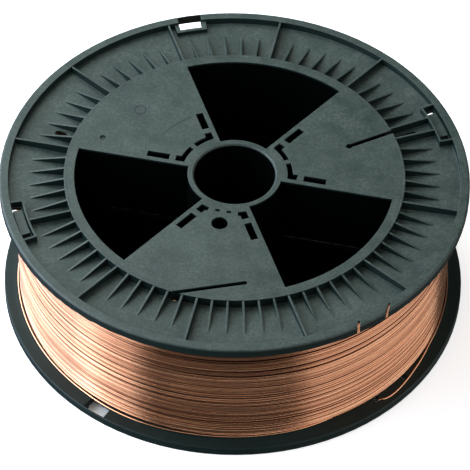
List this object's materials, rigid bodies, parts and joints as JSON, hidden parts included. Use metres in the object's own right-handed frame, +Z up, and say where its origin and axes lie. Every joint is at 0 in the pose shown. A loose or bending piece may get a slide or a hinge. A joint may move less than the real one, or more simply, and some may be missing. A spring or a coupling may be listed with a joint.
{
  "type": "welding wire spool",
  "caption": "Ribbed plastic spool with a wide bore and drive holes, full of copper-coated welding wire.",
  "frame": {"origin": "on the bore's axis, in the plane of the lower flange's outer face", "axes": "+Z up along the bore's axis through the spool's width, -Y towards the upper half's drive hole"},
  "size_m": [0.2998, 0.2998, 0.1],
  "materials": {
    "black_plastic": "moulded black polystyrene, dull, slightly dusty",
    "copper_wire": "bright copper coating on drawn steel wire"
  },
  "bodies": {
    "root": {"spool_half_lower": "black_plastic", "spool_half_upper": "black_plastic", "wire_winding": "copper_wire", "wire_tail": "copper_wire"}
  },
  "joints": []
}
